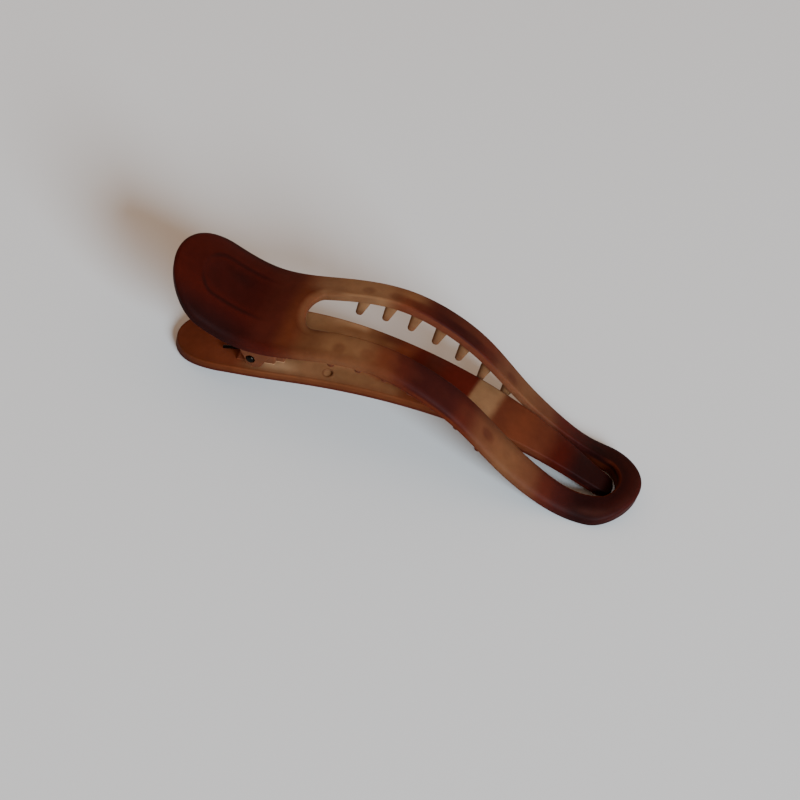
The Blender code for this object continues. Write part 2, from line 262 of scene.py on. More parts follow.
print("operators:", [name for name in ("__add__", "__mul__", "__pow__") if hasattr(Value, name)])

# %% [markdown]
# ## The clip's curves
#
# Both jaws are walls of even thickness that follow a long S curve. A mould drawing
# would give their height and width at a few stations along the clip and run a smooth
# curve through them. The tables below do the same, with "along" counted from the end
# of the upper pad, and a natural cubic curve joins the rows.

# %% Stations along the two jaws
CLIP_LENGTH = 135.0
WALL = 2.8


def table(columns, *rows):
    """Rows of numbers with named columns."""
    row = namedtuple("Row", columns)
    return [row(*numbers) for numbers in rows]


UPPER = table(
    "along edge_height half_width crown",
    (0, 29.3, 14.4, 1.6),
    (12, 23.9, 15.3, 3.0),
    (25, 21.2, 15.4, 2.6),
    (42, 25.8, 15.4, 1.8),
    (60, 29.4, 15.8, 1.7),
    (72, 27.1, 16.3, 1.8),
    (84, 21.5, 16.4, 2.1),
    (97, 12.0, 16.0, 2.7),
    (108, 5.5, 15.4, 3.0),
    (118, 1.9, 14.5, 2.9),
    (126, 1.9, 13.6, 2.2),
    (135, 4.1, 11.4, 1.4))
OPENING = table(
    "along half_width",
    (36.6, 6.3), (52, 7.7), (66, 8.1), (80, 7.9), (96, 7.8), (112, 8.1), (122, 7.2), (128.9, 4.9))
LOWER = table(
    "along height half_width",
    (4.2, 1.3, 11.0),
    (8, 2.1, 11.2),
    (14, 4.7, 11.8),
    (28, 9.6, 12.7),
    (44, 13.7, 12.1),
    (68, 16.0, 9.8),
    (90, 14.1, 7.4),
    (110, 8.4, 5.1),
    (122, 3.6, 3.6),
    (128.2, 1.5, 2.9))
UPPER_ROUND_ENDS = (11.8, 10.9)
OPENING_ROUND_ENDS = (3.2, 3.6)
LOWER_ROUND_ENDS = (15.0, 1.6)
LOWER_CROWN = 0.6
REST_CUT = 0.5
REST_REACH = 12.0


def smooth_curve(rows, column):
    """A natural cubic curve through one column of a table, for numbers or arrays."""
    x = np.array([row.along for row in rows], float)
    y = np.array([getattr(row, column) for row in rows], float)
    step, size = np.diff(x), len(x)
    slope = np.diff(y) / step
    matrix, right = np.eye(size), np.zeros(size)
    for i in range(1, size - 1):
        matrix[i, i - 1:i + 2] = step[i - 1], 2 * (step[i - 1] + step[i]), step[i]
        right[i] = 6 * (slope[i] - slope[i - 1])
    bend = np.linalg.solve(matrix, right)

    def value(along):
        i = np.clip(np.searchsorted(x, along) - 1, 0, size - 2)
        a, b = x[i + 1] - along, along - x[i]
        cubic = (bend[i] * a ** 3 + bend[i + 1] * b ** 3) / (6 * step[i])
        first = (y[i] / step[i] - bend[i] * step[i] / 6) * a
        return cubic + first + (y[i + 1] / step[i] - bend[i + 1] * step[i] / 6) * b

    return value


def rounded(distance, length):
    """1 away from an end, falling to 0 at the end as a quarter of an ellipse does."""
    short = 1 - np.clip(distance / length, 0, 1)
    return np.sqrt(np.maximum(1 - short * short, 0))


def outline(rows, start_round, end_round):
    """Half the width along an outline whose two ends are rounded off."""
    plain_width = smooth_curve(rows, "half_width")
    start, end = rows[0].along, rows[-1].along

    def half_width(along):
        ends = rounded(along - start, start_round) * rounded(end - along, end_round)
        return plain_width(along) * ends

    return half_width


upper_half_width = outline(UPPER, *UPPER_ROUND_ENDS)
opening_half_width = outline(OPENING, *OPENING_ROUND_ENDS)
lower_half_width = outline(LOWER, *LOWER_ROUND_ENDS)
upper_plain_width = smooth_curve(UPPER, "half_width")
upper_edge_height = smooth_curve(UPPER, "edge_height")
upper_crown = smooth_curve(UPPER, "crown")
lower_plain_width = smooth_curve(LOWER, "half_width")
lower_height = smooth_curve(LOWER, "height")


def upper_middle(along, side):
    """Height of the middle of the upper jaw's wall, crowned across the clip."""
    across = side / upper_plain_width(along)
    return upper_edge_height(along) + upper_crown(along) * (1 - across * across)


def lower_middle(along, side):
    """Height of the middle of the lower jaw's wall, a little low where it rests."""
    start, end = LOWER[0].along, LOWER[-1].along
    near_end = np.maximum(1 - (along - start) / REST_REACH, 1 - (end - along) / REST_REACH)
    share = np.maximum(near_end, 0)
    across = side / lower_plain_width(along)
    return lower_height(along) + LOWER_CROWN * (1 - across * across) * (1 - share) - REST_CUT * share


for name in sorted(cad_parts):
    low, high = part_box(name)
    print(name, "spans", [round((b - a) / MM, 1) for a, b in zip(low, high)], "mm")

# %% [markdown]
# ## From a sheet to a moulded wall
#
# A moulded wall is a sheet with thickness and rounded edges. Extruding a flat plan would
# lose the S curve, and a Solidify modifier gives square edges. So Python lays out the
# middle sheet as rows of points from one edge to the other, and a Geometry Nodes tree
# lifts a copy of the sheet and lowers another by a rounded profile. Each point carries
# its distance to the edge, how wide the rounding is there, how far the top is sunk and
# how far the underside is filled. The two copies meet along the edge, where they are
# welded.

# %% Lay out the middle sheets
Spokes = namedtuple("Spokes", "inner outer inner_is_edge")
WALK_STEPS = 2000
UPPER_JOINS = (7.0, 8.0)
UPPER_COUNTS = (64, 120, 40)
LOWER_JOINS = (12.0, 3.0)
LOWER_COUNTS = (44, 130, 24)
LOWER_AXIS_ENDS = (6.0, 1.5)
EDGE_COLUMNS = 10
INSIDE_COLUMNS = 54
EDGE_SPAN = 2.4
EDGE_SHARE = 0.3
SEAM = -1.0
NO_OPENING = 99.0
POINTS_AT_ONCE = 2000


def walk(half_width, stops, counts):
    """Points along half an outline, at even distances between each two stops."""
    points = []
    for start, end, count in zip(stops, stops[1:], counts):
        turns = np.linspace(0, math.pi, WALK_STEPS + 1)
        along = start + (end - start) * (1 - np.cos(turns)) / 2
        side = half_width(along)
        length = np.concatenate([[0], np.cumsum(np.hypot(np.diff(along), np.diff(side)))])
        at = np.linspace(0, length[-1], count + 1)[0 if start == stops[0] else 1:]
        points.append(np.column_stack([np.interp(at, length, along), np.interp(at, length, side)]))
    return np.concatenate(points)


def all_round(half):
    """Half an outline and its mirror image, as one loop."""
    return np.concatenate([half, half[-2:0:-1] * (1, -1)])


def inside_ends(rows, distances):
    """Two places at these distances from the ends of an outline."""
    return rows[0].along + distances[0], rows[-1].along - distances[1]


def upper_spokes():
    """From the opening's outline to the jaw's outline, all the way round."""
    joins = inside_ends(OPENING, UPPER_JOINS)
    inner = walk(opening_half_width, (OPENING[0].along, *joins, OPENING[-1].along), UPPER_COUNTS)
    outer = walk(upper_half_width, (0.0, *joins, CLIP_LENGTH), UPPER_COUNTS)
    return Spokes(all_round(inner), all_round(outer), True)


def lower_spokes():
    """From the long axis to the lower jaw's outline, all the way round."""
    joins = inside_ends(LOWER, LOWER_JOINS)
    outer = walk(lower_half_width, (LOWER[0].along, *joins, LOWER[-1].along), LOWER_COUNTS)
    axis = np.clip(outer[:, 0], *inside_ends(LOWER, LOWER_AXIS_ENDS))
    return Spokes(all_round(np.column_stack([axis, 0 * axis])), all_round(outer), False)


def place(along, side, height):
    """A point, or arrays of them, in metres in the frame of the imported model."""
    return np.stack(np.broadcast_arrays(along - CLIP_LENGTH / 2, side, height), axis=-1) * MM


def distance_to(loop, points):
    """How far each point of the plan lies from a closed outline."""
    run = np.roll(loop, -1, 0) - loop
    nearest = []
    for part in np.array_split(points, len(points) // POINTS_AT_ONCE + 1):
        away = part[:, None, :] - loop
        share = np.clip((away * run).sum(2) / (run * run).sum(1), 0, 1)
        nearest.append(np.linalg.norm(away - run * share[:, :, None], axis=2).min(1))
    return np.concatenate(nearest)


def columns_of(spokes):
    """Each spoke's points as shares of its length, dense near the edges."""
    length = np.linalg.norm(spokes.outer - spokes.inner, axis=1)[:, None]
    span = np.minimum(EDGE_SPAN, EDGE_SHARE * length)
    near = span * (np.arange(EDGE_COLUMNS) / EDGE_COLUMNS) ** 2
    start = span if spokes.inner_is_edge else 0 * span
    inside = start + (length - span - start) * np.linspace(0, 1, INSIDE_COLUMNS)
    outer_side = np.hstack([length - near[:, ::-1], length])
    inner_side = [0 * length, near] if spokes.inner_is_edge else []
    return np.hstack(inner_side + [inside, outer_side]), length


def add_mesh(name, points, edges=(), faces=()):
    mesh = bpy.data.meshes.new(name)
    mesh.from_pydata(points, edges, faces)
    return add_object(name, mesh)


def store(mesh, values):
    """Numbers for each point of a mesh to carry, by name."""
    for name, numbers in values.items():
        layer = mesh.attributes.new(name, "FLOAT", "POINT")
        layer.data.foreach_set("value", np.ravel(numbers))


def make_sheet(name, spokes, middle, details):
    """The middle sheet of a wall, with what its points carry."""
    distance, length = columns_of(spokes)
    share = (distance / length)[:, :, None]
    plan = spokes.inner[:, None, :] + (spokes.outer - spokes.inner)[:, None, :] * share
    along, side = plan[:, :, 0], plan[:, :, 1]
    outer = distance_to(spokes.outer, plan.reshape(-1, 2)).reshape(along.shape)
    outer[:, -1] = SEAM
    opening = np.full(along.shape, NO_OPENING)
    if spokes.inner_is_edge:
        opening = distance_to(spokes.inner, plan.reshape(-1, 2)).reshape(along.shape)
        opening[:, 0] = SEAM
    points = place(along, side, middle(along, side)).reshape(-1, 3)
    index = np.arange(along.size).reshape(along.shape)
    after = np.roll(index, -1, 0)
    quads = np.stack([index[:, :-1], index[:, 1:], after[:, 1:], after[:, :-1]], axis=2)
    sheet = add_mesh(name, points.tolist(), faces=quads.reshape(-1, 4)[:, ::-1].tolist())
    store(sheet.data, details(along, side, opening < outer))
    store(sheet.data, {"edge_mm": np.minimum(outer, opening)})
    return sheet


print("upper spokes:", len(upper_spokes().outer), "lower spokes:", len(lower_spokes().outer))

# %% The wall tree
WELD = 0.002
LEAST_SHOULDER = 0.2


def new_tree(name, sockets):
    """An empty Geometry Nodes tree that takes a geometry, a material and more inputs."""
    tree = bpy.data.node_groups.new(name, "GeometryNodeTree")
    for way in ("INPUT", "OUTPUT"):
        tree.interface.new_socket("Geometry", in_out=way, socket_type="NodeSocketGeometry")
    for socket, kind in dict(sockets, Material="Material").items():
        tree.interface.new_socket(socket, in_out="INPUT", socket_type="NodeSocket" + kind)
    graph = Graph(tree)
    return graph, graph.add("NodeGroupInput")


def end_tree(graph, given, geometry):
    """The tree, closed by Realize Instances and Set Material as every one here is."""
    real = graph.add("GeometryNodeRealizeInstances", {"Geometry": geometry})
    smooth = graph.add("GeometryNodeSetShadeSmooth", {"Geometry": real})
    coated = graph.add("GeometryNodeSetMaterial", {
        "Geometry": smooth, "Material": given.of("Material")})
    graph.add("NodeGroupOutput", {"Geometry": coated})
    return graph.tree


def carried_value(graph, name):
    return graph.add("GeometryNodeInputNamedAttribute", {"Name": name}, data_type="FLOAT")


def off_seam(graph):
    """0 for the points on the seam and 1 for all others."""
    return carried_value(graph, "edge_mm").math("GREATER_THAN", SEAM / 2)


def rounded_rise(graph, rounding, half_wall):
    """Share of half the wall that the surface has risen by, at each point's distance."""
    short = 1 - (carried_value(graph, "edge_mm") / rounding).clamped()
    circle = (1 - short * short).math("SQRT")
    shoulder = (1 - rounding / half_wall).math("MAXIMUM", LEAST_SHOULDER)
    return (circle * (1 - shoulder) + shoulder) * off_seam(graph)


def wall_tree():
    graph, given = new_tree("moulded_wall", {"Wall thickness": "Float", "Bottom rounding": "Float"})
    half_wall = given.of("Wall thickness") / 2
    half = half_wall * MM
    top_rise = rounded_rise(graph, carried_value(graph, "round_mm"), half_wall)
    low_rise = rounded_rise(graph, given.of("Bottom rounding"), half_wall)
    sunk = carried_value(graph, "sunk_mm") * MM
    filled = carried_value(graph, "filled_mm") * off_seam(graph) * MM
    flipped = graph.add("GeometryNodeFlipFaces", {"Mesh": given})
    sides = []
    for sheet, lift in ((given, top_rise * half - sunk), (flipped, low_rise * half * -1.0 - filled)):
        offset = graph.add("ShaderNodeCombineXYZ", {"Z": lift})
        sides.append(graph.add("GeometryNodeSetPosition", {"Geometry": sheet, "Offset": offset}))
    both = graph.add("GeometryNodeJoinGeometry", {"Geometry": sides})
    welded = graph.add("GeometryNodeMergeByDistance", {"Geometry": both, "Distance": WELD * MM})
    return end_tree(graph, given, welded)


def plain(source, name):
    """An object's evaluated mesh as a new object with no modifiers."""
    depsgraph = bpy.context.evaluated_depsgraph_get()
    mesh = bpy.data.meshes.new_from_object(source.evaluated_get(depsgraph),
                                           preserve_all_data_layers=True, depsgraph=depsgraph)
    mesh.name = name
    bpy.data.objects.remove(source)
    return add_object(name, mesh)


def grown(source, name, tree, values):
    """The plain mesh that a tree grows from a source object, which is used up."""
    modifier = source.modifiers.new(tree.name, "NODES")
    modifier.node_group = tree
    for item in tree.interface.items_tree:
        if item.in_out == "INPUT" and item.name in values:
            modifier[item.identifier] = values[item.name]
    return plain(source, name)


WALL_TREE = wall_tree()
print("tree", WALL_TREE.name, "has", len(WALL_TREE.nodes), "nodes")

# %% [markdown]
# ## The upper jaw's wall
#
# The upper jaw is one moulding: a thumb pad, a neck, and two rails that meet in a round
# tip. Its outline is softly rounded on top. The opening's edge is tighter, but for the
# end at the pad, which has a wide rounded lip. The pad has a shallow hollow for the
# thumb. Its border is a small step at the sides and round the pad's end, and it runs out
# towards the neck. Under the tip the hollow of the crown is filled, and the underside is
# flat there.

# %% Grow the upper wall
EDGE_ROUND = 1.5
BOTTOM_ROUND = 0.3
OPENING_ROUND = 0.7
LIP_ROUND = 2.8
LIP_CENTRE = 2.0
LIP_SQUEEZE = 0.6
LIP_FADE = (3.0, 9.0)
HOLLOW_START = 13.0
HOLLOW_ROUND_END = 5.3
HOLLOW_HALF_WIDTH = 7.5
HOLLOW_STEP = 0.35
HOLLOW_BORDER = (0.86, 1.04)
HOLLOW_SCOOP = 0.6
HOLLOW_BOWL = (0.1, 0.9)
HOLLOW_FADE = (18.0, 30.0)
TIP_FILL = (115.0, 122.0)


def smooth_step(value, start, end):
    share = np.clip((value - start) / (end - start), 0, 1)
    return share * share * (3 - 2 * share)


def thumb_hollow(along, side):
    """Depth of the hollow on top of the pad: a small step, then a scoop inside it."""
    into_end = np.minimum(along - HOLLOW_START, 0)
    reach = np.hypot(into_end / HOLLOW_ROUND_END, side / HOLLOW_HALF_WIDTH)
    step = HOLLOW_STEP * (1 - smooth_step(reach, *HOLLOW_BORDER))
    scoop = HOLLOW_SCOOP * (1 - smooth_step(reach, *HOLLOW_BOWL))
    return (step + scoop) * (1 - smooth_step(along, *HOLLOW_FADE))


def upper_details(along, side, by_opening):
    from_lip = np.hypot(along - OPENING[0].along - LIP_CENTRE, side * LIP_SQUEEZE)
    near_pad = 1 - smooth_step(from_lip, *LIP_FADE)
    opening_round = OPENING_ROUND + (LIP_ROUND - OPENING_ROUND) * near_pad
    crown_here = upper_middle(along, side) - upper_edge_height(along)
    return {"sunk_mm": thumb_hollow(along, side),
            "round_mm": np.where(by_opening, opening_round, EDGE_ROUND),
            "filled_mm": crown_here * smooth_step(along, *TIP_FILL)}


def empty_material(name):
    """A material with nodes, to be filled in further down."""
    material = bpy.data.materials.new(name)
    material.use_nodes = True
    return material


def grow_wall(name, spokes, middle, details, material):
    sheet = make_sheet(name + "_sheet", spokes, middle, details)
    return grown(sheet, name + "_wall", WALL_TREE, {
        "Wall thickness": WALL, "Bottom rounding": BOTTOM_ROUND, "Material": material})


TORTOISE_UPPER = empty_material("frosted_tortoise_upper")
TORTOISE_LOWER = empty_material("frosted_tortoise_lower")
DRAWN_STEEL = empty_material("drawn_steel")

upper_wall = grow_wall("upper", upper_spokes(), upper_middle, upper_details, TORTOISE_UPPER)
print("upper wall:", len(upper_wall.data.polygons), "faces")

# %% [markdown]
# ## The lower jaw's wall
#
# The lower jaw is a pad and one long arched blade that ends inside the tip of the upper
# jaw. It is grown by the same tree from its own sheet. The clip lies on the two ends of
# this jaw, which are worn flat there, so no point of it is left below the floor.

# %% Grow the lower wall
LOWER_EDGE_ROUND = 0.35


def lower_details(along, side, by_opening):
    """The rounding alone: points that don't carry a value count as 0 in the tree."""
    return {"round_mm": 0 * along + LOWER_EDGE_ROUND}


def rest_on_floor(piece):
    """Bring whatever lies under the floor up to it."""
    for vertex in piece.data.vertices:
        vertex.co.z = max(vertex.co.z, 0.0)


lower_wall = grow_wall("lower", lower_spokes(), lower_middle, lower_details, TORTOISE_LOWER)
rest_on_floor(lower_wall)
print("lower wall:", len(lower_wall.data.polygons), "faces")

# %% [markdown]
# ## The teeth
#
# Ten teeth hang under each rail. They are one shape at one pitch, so Geometry Nodes set
# them out: Python gives one point for each root, with the tooth's length, and the tree
# puts a peg there. The peg is a cylinder whose rings are moved: its width tapers from
# root to tip, its end is round, and its section is a square with very round corners.
# Near the clip's tip the rails come down to the floor, and the teeth get shorter there,
# so that the front row stays hidden behind its rail.

# %% Set out the teeth
TEETH_START = 49.7
TEETH_PITCH = 7.2
TEETH_COUNT = 10
FRONT_ROW_SHIFT = -1.5
TOOTH_SIDE = 10.4
TOOTH_LENGTH = 7.0
TOOTH_FLOOR_GAP = 0.4
SHORTEST_TOOTH = 1.0
SHORTER_FROM = 92.0
SHORTER_BY = 0.25
TOOTH_SHAPE = {
    "Root along": 4.1, "Root across": 3.4, "Tip along": 2.1, "Tip across": 1.7,
    "Round from": 0.87, "Squareness": 2.4, "Lean": 8.0}
LEAST_SQUARE = 1e-6
PEG = {"Vertices": 24, "Side Segments": 22, "Radius": 1.0, "Depth": 2.0}


def tooth_roots():
    """The middle of each tooth's root inside the wall, and the length from there."""
    for sign, shift in ((-1, FRONT_ROW_SHIFT), (1, 0.0)):
        for i in range(TEETH_COUNT):
            along = TEETH_START + shift + TEETH_PITCH * i
            height = upper_middle(along, TOOTH_SIDE)
            length = TOOTH_LENGTH - max(along - SHORTER_FROM, 0.0) * SHORTER_BY
            tip = max(height - WALL / 2 - length, TOOTH_FLOOR_GAP)
            if height - WALL / 2 - tip > SHORTEST_TOOTH:
                yield (along, sign * TOOTH_SIDE, height), height - tip


def teeth_tree():
    graph, given = new_tree("teeth_in_rows", dict.fromkeys(TOOTH_SHAPE, "Float"))
    peg = graph.add("GeometryNodeMeshCylinder", PEG)
    axis = graph.add("ShaderNodeSeparateXYZ", {0: graph.add("GeometryNodeInputPosition")})
    x, y = axis.of("X"), axis.of("Y")
    share = ((axis.of("Z") * -0.5 + 0.5) * (math.pi / 2)).math("SINE")
    round_from = given.of("Round from")
    taper = (share / round_from).clamped()
    past = ((share - round_from) / (1 - round_from)).clamped()
    end = (1 - past * past).math("MAXIMUM", 0.0).math("SQRT")
    power = given.of("Squareness")
    square = x.math("ABSOLUTE") ** power + y.math("ABSOLUTE") ** power
    square = square.math("MAXIMUM", LEAST_SQUARE)
    round_off = end * MM / 2 / (square ** (1 / power))
    width = [given.of("Root " + way) + (given.of("Tip " + way) - given.of("Root " + way)) * taper
             for way in ("along", "across")]
    spot = graph.add("ShaderNodeCombineXYZ", {
        "X": x * width[0] * round_off, "Y": y * width[1] * round_off, "Z": share * -MM})
    tooth = graph.add("GeometryNodeSetPosition", {"Geometry": peg, "Position": spot})
    size = graph.add("ShaderNodeCombineXYZ", {
        "X": 1.0, "Y": 1.0, "Z": carried_value(graph, "length_mm")})
    lean = graph.add("ShaderNodeCombineXYZ", {"Y": given.of("Lean") * math.radians(1)})
    rows = graph.add("GeometryNodeInstanceOnPoints", {
        "Points": given, "Instance": tooth, "Rotation": lean, "Scale": size})
    return end_tree(graph, given, rows)


roots = list(tooth_roots())
root_points = add_mesh("tooth_roots", [tuple(place(*root)) for root, _ in roots])
store(root_points.data, {"length_mm": [length for _, length in roots]})
teeth = grown(root_points, "teeth", teeth_tree(), dict(TOOTH_SHAPE, Material=TORTOISE_UPPER))
print("teeth:", len(roots), "with", len(teeth.data.polygons), "faces")

# %% [markdown]
# ## Ears for the pin
#
# Two ears under the neck and two on the lower jaw carry the hinge pin. Each ear is a
# plate with a round end about the pin and flanks that spread to its foot. A loft through
# a few outlines, drawn in a little at the two faces, gives it rounded edges. The lower
# ears have two small stepped ribs at the toe, as the moulding has.

# %% Loft the ears and their toe ribs
PIN_ALONG = 26.8
PIN_HEIGHT = 14.0
PIN_RADIUS = 1.0
RUNNING_GAP = 0.3
EAR_EDGE = 0.3
EDGE_STEPS = 4
EAR_ARC = np.radians(np.linspace(10, 170, 33))
FOOT_POINTS = 9
Ear = namedtuple("Ear", "inner outer radius shift foot_start foot_end way")
UPPER_EAR = Ear(10.0, 12.0, 2.6, 1.0, -8.2, 7.4, -1)
LOWER_EAR = Ear(7.5, 9.7, 3.1, 0.0, -4.2, 4.2, 1)
TOE_STEPS = table("end rise inner outer", (33.0, 2.6, 7.5, 9.7), (35.2, 1.5, 5.3, 8.5))
TOE_START = 28.8
TOE_CORNER = 0.7
TOE_ARC = np.linspace(0, math.pi / 2, 7)


def new_piece(name, bm):
    """A bmesh's solid as an object, with its faces turned outwards."""
    bmesh.ops.remove_doubles(bm, verts=bm.verts, dist=WELD * MM)
    bmesh.ops.recalc_face_normals(bm, faces=bm.faces)
    mesh = bpy.data.meshes.new(name)
    bm.to_mesh(mesh)
    bm.free()
    return add_object(name, mesh)


def add_loft(bm, rings):
    """A closed solid through rings of points, which all have the same count."""
    made = [[bm.verts.new(point) for point in ring] for ring in rings]
    bm.faces.new(made[0])
    bm.faces.new(made[-1][::-1])
    for ring, following in zip(made, made[1:]):
        for i in range(len(ring)):
            j = (i + 1) % len(ring)
            bm.faces.new((ring[i], following[i], following[j], ring[j]))


def plate(bm, outline_at, side_low, side_high):
    """A plate across the clip between two sides, with its edges rounded."""
    turns = [math.pi / 2 * i / EDGE_STEPS for i in range(EDGE_STEPS + 1)]
    drawn_in = [(EAR_EDGE * (1 - math.cos(t)), EAR_EDGE * (1 - math.sin(t))) for t in turns]
    levels = [(side_low + offset, inset) for offset, inset in drawn_in]
    levels += [(side_high - offset, inset) for offset, inset in reversed(drawn_in)]
    add_loft(bm, [[place(a, side, h) for a, h in outline_at(inset)] for side, inset in levels])


def ear_outline(ear, wall_middle):
    """An ear seen from the side; an inset draws its round end and flanks in."""
    def outline_at(inset):
        reach = ear.radius - inset
        arc = [(PIN_ALONG + ear.shift + reach * math.cos(t),
                PIN_HEIGHT + ear.way * reach * math.sin(t)) for t in EAR_ARC]
        feet = PIN_ALONG + np.linspace(ear.foot_start + inset, ear.foot_end - inset, FOOT_POINTS)
        return arc + [(foot, wall_middle(foot, (ear.inner + ear.outer) / 2)) for foot in feet]
    return outline_at


def toe_outline(step):
    """A low rib along the wall with a rounded end, seen from the side."""
    side = (step.inner + step.outer) / 2
    foot, end_foot = lower_middle(TOE_START, side), lower_middle(step.end, side)

    def outline_at(inset):
        end, back = step.end - inset, foot + WALL / 2 + step.rise - inset
        top = end_foot + WALL / 2 + step.rise - inset
        arc = [(end - TOE_CORNER * (1 - math.cos(t)), top - TOE_CORNER * (1 - math.sin(t)))
               for t in TOE_ARC]
        return [(TOE_START, foot), (end, end_foot)] + arc + [(TOE_START, back)]
    return outline_at


def both_sides(name, outline_at, shape):
    """The same plate on the front and on the back of the clip."""
    bm = bmesh.new()
    plate(bm, outline_at, shape.inner, shape.outer)
    plate(bm, outline_at, -shape.outer, -shape.inner)
    return new_piece(name, bm)


upper_ears = both_sides("upper_ears", ear_outline(UPPER_EAR, upper_middle), UPPER_EAR)
lower_ears = both_sides("lower_ears", ear_outline(LOWER_EAR, lower_middle), LOWER_EAR)
toe_ribs = [both_sides("toe_ribs", toe_outline(step), step) for step in TOE_STEPS]
print("ears and ribs:", [len(piece.data.polygons) for piece in (upper_ears, lower_ears, *toe_ribs)])

# %% [markdown]
# ## One moulding each
#
# Parts that only pass through each other show a hard dark line where frosted plastic
# should flow on, and light inside them goes astray. A Boolean union makes each jaw one
# closed skin, and a Boolean difference opens the pin holes and the round mark that the
# mould's ejector pin leaves on the lower jaw.

# %% Join and drill the jaws
EJECTOR_MARK = (47.0, -8.9)
EJECTOR_RADIUS = 1.3
EJECTOR_DEPTH = 0.25
EJECTOR_REACH = 2.0
EJECTOR_SPREAD = (-0.1, 0.2)
EJECTOR_SIDES = 40
DRILL_PAST = 1.0
SHARP_ANGLE = math.radians(38)


def turned(name, levels, point_at, sides=48):
    """A round solid through a few levels, each a place on its axis and a radius."""
    turns = np.linspace(0, math.tau, sides, endpoint=False)
    bm = bmesh.new()
    add_loft(bm, [[point_at(level, radius * math.cos(t), radius * math.sin(t)) for t in turns]
                  for level, radius in levels])
    return new_piece(name, bm)


def rod_across(name, radius, reach, chamfer=0.0):
    """A round rod across the clip, about the pin's axis."""
    levels = [(-reach, radius - chamfer), (-reach + chamfer, radius)]
    levels += [(reach - chamfer, radius), (reach, radius - chamfer)]
    return turned(name, levels, lambda side, x, z: place(PIN_ALONG + x, side, PIN_HEIGHT + z))


def drill(name, ear):
    return rod_across(name, PIN_RADIUS + RUNNING_GAP, ear.outer + DRILL_PAST)


def ejector_tool():
    """A short upright rod that reaches just into the top of the lower jaw."""
    along, side = EJECTOR_MARK
    top = lower_middle(along, side) + WALL / 2
    levels = [(top - EJECTOR_DEPTH, EJECTOR_RADIUS + EJECTOR_SPREAD[0]),
              (top + EJECTOR_REACH, EJECTOR_RADIUS + EJECTOR_SPREAD[1])]
    return turned("ejector_tool", levels,
                  lambda height, x, y: place(along + x, side + y, height), EJECTOR_SIDES)


def shade_softly(mesh):
    """Smooth shading that leaves out the edges that are sharper than an angle."""
    mesh.shade_smooth()
    mesh.set_sharp_from_angle(angle=SHARP_ANGLE)


def moulded(name, wall, material, added, removed):
    """The wall with pieces added to it and others cut away, as one plain mesh."""
    for operation, tools in (("UNION", added), ("DIFFERENCE", removed)):
        for tool in tools:
            modifier = wall.modifiers.new(tool.name, "BOOLEAN")
            modifier.operation = operation
            modifier.solver = "EXACT"
            modifier.object = tool
    jaw = plain(wall, name)
    for tool in (*added, *removed):
        bpy.data.objects.remove(tool)
    jaw.data.materials.clear()
    jaw.data.materials.append(material)
    shade_softly(jaw.data)
    return jaw


upper_jaw = moulded("upper_jaw_fine", upper_wall, TORTOISE_UPPER,
                    [teeth, upper_ears], [drill("upper_drill", UPPER_EAR)])
lower_jaw = moulded("lower_jaw_fine", lower_wall, TORTOISE_LOWER,
                    [lower_ears, *toe_ribs], [drill("lower_drill", LOWER_EAR), ejector_tool()])
print("jaws:", len(upper_jaw.data.polygons), "and", len(lower_jaw.data.polygons), "faces")

# %% [markdown]
# ## The pin and the spring
#
# The pin is a plain steel rod with a chamfer at each end. The spring is one wire: a leg
# under each pad and a close coil about the pin. A wire follows a path, so Python works
# out the path and Geometry Nodes sweep a round section along it.

# %% Turn the pin and wind the spring
PIN_PROUD = 0.35
PIN_CHAMFER = 0.2
WIRE_RADIUS = 0.45
WIRE_SIDES = 16
COIL_RADIUS = 1.9
COIL_TURNS = 8
COIL_SPAN = 11.6
LEG_SIDE = 6.6
LOWER_LEG_END = 18.2
UPPER_LEG_END = 14.5
STEPS_PER_TURN = 40
LEG_STEPS = 12


def tangent_turn(along, height, side_of_line):
    """Where on the coil a straight leg from a point leaves it, as an angle."""
    reach = math.hypot(along - PIN_ALONG, height - PIN_HEIGHT)
    towards = math.atan2(height - PIN_HEIGHT, along - PIN_ALONG)
    return towards + side_of_line * math.acos(COIL_RADIUS / reach)


def spring_route():
    """Points along the wire: the lower leg, the coil, the upper leg."""
    rise = WALL / 2 + RUNNING_GAP + WIRE_RADIUS
    lower_end = (LOWER_LEG_END, float(lower_middle(LOWER_LEG_END, LEG_SIDE)) + rise)
    upper_end = (UPPER_LEG_END, float(upper_middle(UPPER_LEG_END, LEG_SIDE)) - rise)
    first = tangent_turn(*lower_end, 1) % math.tau - math.tau
    last = tangent_turn(*upper_end, -1) % math.tau + math.tau * COIL_TURNS
    share = np.linspace(0, 1, int((last - first) / math.tau * STEPS_PER_TURN) + 1)
    turn = first + (last - first) * share
    coil = place(PIN_ALONG + COIL_RADIUS * np.cos(turn), COIL_SPAN * (share - 0.5),
                 PIN_HEIGHT + COIL_RADIUS * np.sin(turn))
    ends = [place(lower_end[0], -LEG_SIDE, lower_end[1]), place(upper_end[0], LEG_SIDE, upper_end[1])]
    leg = np.linspace(0, 1, LEG_STEPS, endpoint=False)[:, None]
    start_leg = ends[0] + (coil[0] - ends[0]) * leg
    end_leg = (ends[1] + (coil[-1] - ends[1]) * leg)[::-1]
    return np.concatenate([start_leg, coil, end_leg])


def wire_tree():
    graph, given = new_tree("wire_along_path", {"Wire radius": "Float", "Sides": "Int"})
    path = graph.add("GeometryNodeMeshToCurve", {"Mesh": given})
    ring = graph.add("GeometryNodeCurvePrimitiveCircle", {
        "Resolution": given.of("Sides"), "Radius": given.of("Wire radius") * MM})
    wire = graph.add("GeometryNodeCurveToMesh", {
        "Curve": path, "Profile Curve": ring, "Fill Caps": True})
    return end_tree(graph, given, wire)


